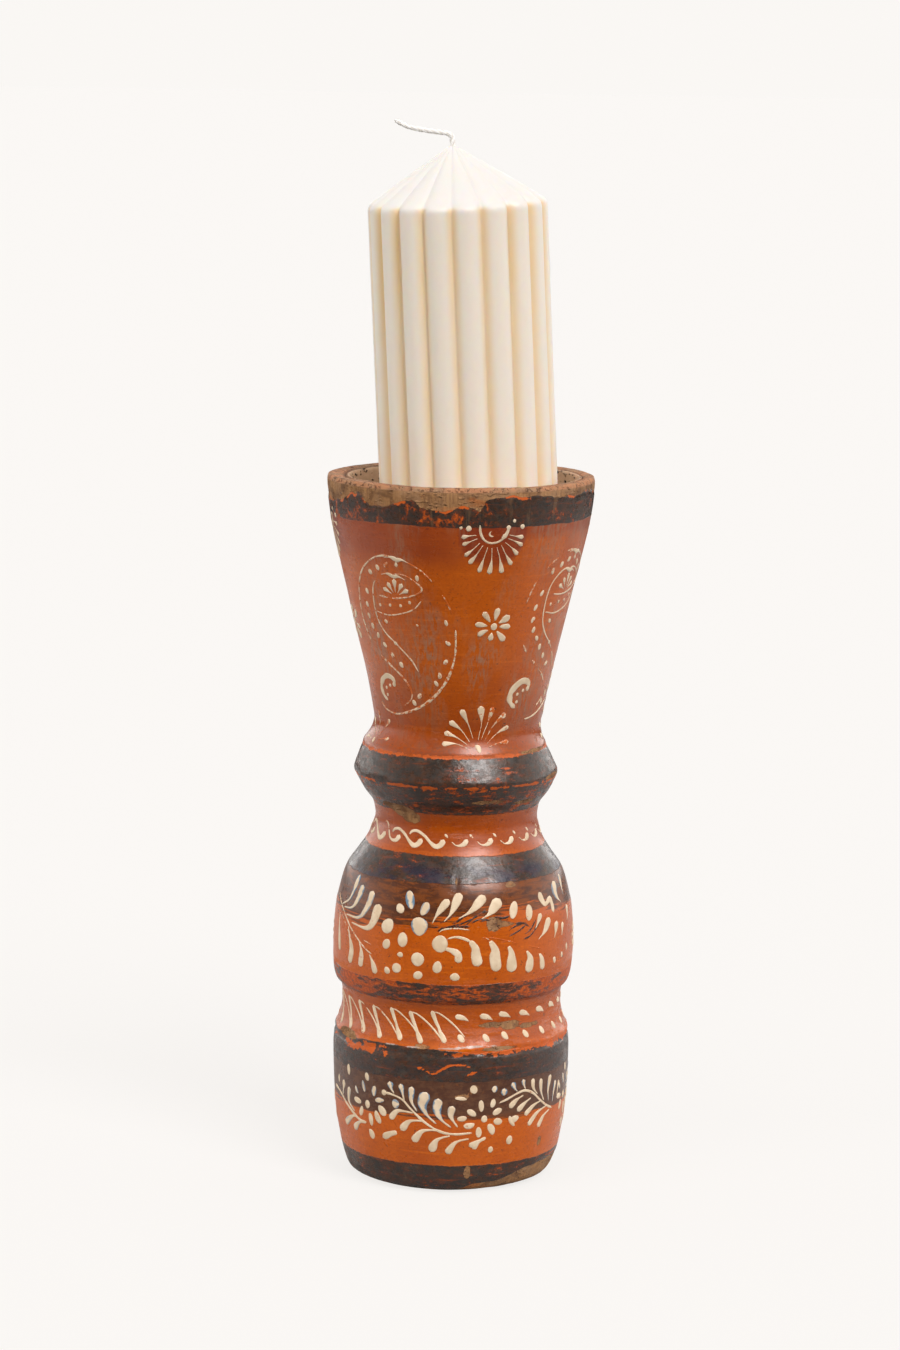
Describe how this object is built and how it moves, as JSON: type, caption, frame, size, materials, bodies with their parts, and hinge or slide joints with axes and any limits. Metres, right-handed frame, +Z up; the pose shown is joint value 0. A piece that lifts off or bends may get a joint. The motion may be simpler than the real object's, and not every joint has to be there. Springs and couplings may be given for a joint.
{
  "type": "wooden candlestick",
  "caption": "Turned and painted wooden candlestick with a flared cup, a collar and two rounded bulges, holding a ribbed pillar candle with a cone top and a bent wick.",
  "frame": {"origin": "centre of the flat foot, which is also the bottom centre of the bounding box", "axes": "+Z up along the stick's turned axis, -Y towards the viewer in the picture, +X to the right"},
  "size_m": [0.1054, 0.1054, 0.4178],
  "materials": {
    "lacquered_wood": "orange lacquer with black bands, cream painted ornament, worn to bare wood at the edges",
    "wax": "ivory wax, softly translucent, satin",
    "wick_cotton": "braided cotton, waxed"
  },
  "bodies": {
    "holder": {"turned_stick": "lacquered_wood"},
    "candle": {"pillar_candle": "wax", "wick": "wick_cotton"}
  },
  "joints": [
    {"name": "candle_lift", "type": "slide", "parent": "holder", "child": "candle", "axis": [-0.0532, -0.0348, 0.998], "range_m": [0, 0.06]}
  ]
}
